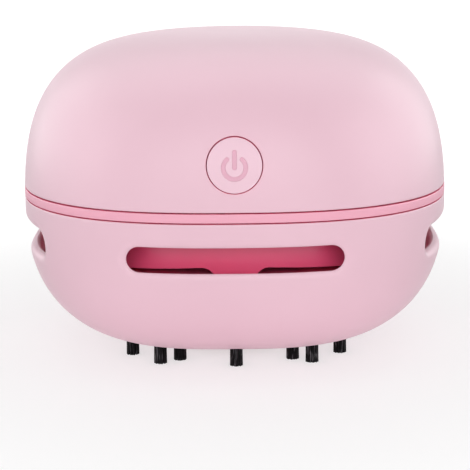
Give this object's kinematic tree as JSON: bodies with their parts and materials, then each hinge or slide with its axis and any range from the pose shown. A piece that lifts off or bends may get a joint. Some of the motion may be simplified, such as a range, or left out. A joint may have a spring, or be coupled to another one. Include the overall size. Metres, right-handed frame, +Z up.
{
  "type": "desktop mini vacuum cleaner",
  "caption": "Palm-size desktop vacuum with a rounded-square two-shell body, air slots round the lower shell, a front power button and bristle tufts under the base.",
  "frame": {"origin": "centre of the footprint on the desk, level with the bristle tips that the machine stands on", "axes": "+Z up along the motor's axis, -Y towards the user (the power button's side), +X to the user's right"},
  "size_m": [0.0838, 0.0838, 0.0628],
  "materials": {
    "shell_pink": "satin",
    "band_pink": "satin",
    "inner_pink": "satin",
    "cup_pink": "satin",
    "black_nylon": "matte",
    "white_plastic": "satin",
    "grey_plastic": "matte",
    "black_plastic": "satin",
    "board_green": "satin",
    "steel": "brushed",
    "dark_steel": "satin",
    "magnet_grey": "matte",
    "copper": "satin",
    "bronze": "satin",
    "cell_silver": "satin",
    "foam_grey": "matte",
    "seal_rubber": "matte",
    "filter_cloth": "matte",
    "clear_light": "gloss",
    "wire_red": "satin",
    "wire_black": "satin"
  },
  "bodies": {
    "lower": {"lower_shell": "shell_pink", "dust_cup": "cup_pink", "inlet_ring": "cup_pink", "brush_segment_1": "black_nylon", "brush_segment_2": "black_nylon", "brush_segment_3": "black_nylon", "brush_segment_4": "black_nylon", "cup_screw_1": "dark_steel", "cup_screw_2": "dark_steel", "cup_screw_3": "dark_steel", "cup_screw_4": "dark_steel"},
    "filter": {"filter_frame": "white_plastic", "filter_mesh": "filter_cloth", "filter_seal": "seal_rubber"},
    "upper": {"top_shell": "shell_pink", "trim_ring": "band_pink", "motor_deck": "white_plastic", "fan_housing": "inner_pink", "tact_switch": "black_plastic", "switch_board": "board_green", "charge_board": "board_green", "usb_socket": "steel", "usb_tongue": "black_plastic", "charge_light": "clear_light", "battery_tray": "white_plastic", "battery_cell": "cell_silver", "battery_foam": "foam_grey", "motor_can": "steel", "motor_end_cap": "grey_plastic", "motor_bush": "bronze", "magnet_left": "magnet_grey", "magnet_right": "magnet_grey", "terminal_left": "copper", "terminal_right": "copper", "motor_wire_red": "wire_red", "motor_wire_black": "wire_black", "battery_wire_red": "wire_red", "battery_wire_black": "wire_black", "charge_wire_red": "wire_red", "charge_wire_black": "wire_black", "deck_screw_1": "dark_steel", "deck_screw_2": "dark_steel", "deck_screw_3": "dark_steel", "deck_screw_4": "dark_steel", "motor_screw_1": "dark_steel", "motor_screw_2": "dark_steel"},
    "rotor": {"motor_shaft": "steel", "armature": "copper", "commutator": "copper", "impeller": "white_plastic"},
    "button": {"power_button": "shell_pink", "switch_plunger": "black_plastic"}
  },
  "joints": [
    {"name": "top_lift", "type": "slide", "parent": "lower", "child": "filter", "axis": [0, 0, 1], "range_m": [0, 0.00436]},
    {"name": "top_twist", "type": "hinge", "parent": "filter", "child": "upper", "pos_m": [0, 0, 0], "axis": [0, 0, 1], "range_deg": [0, 50]},
    {"name": "motor_spin", "type": "hinge", "parent": "upper", "child": "rotor", "pos_m": [0, 0, 0], "axis": [0, 0, 1], "continuous": true},
    {"name": "power_press", "type": "slide", "parent": "upper", "child": "button", "axis": [0, 1, 0], "range_m": [0, 0.0008], "stiffness_N_per_m": 600}
  ],
  "couplings": [
    {"joint": "top_lift", "follows": "top_twist", "m_per_rad": 0.005}
  ]
}
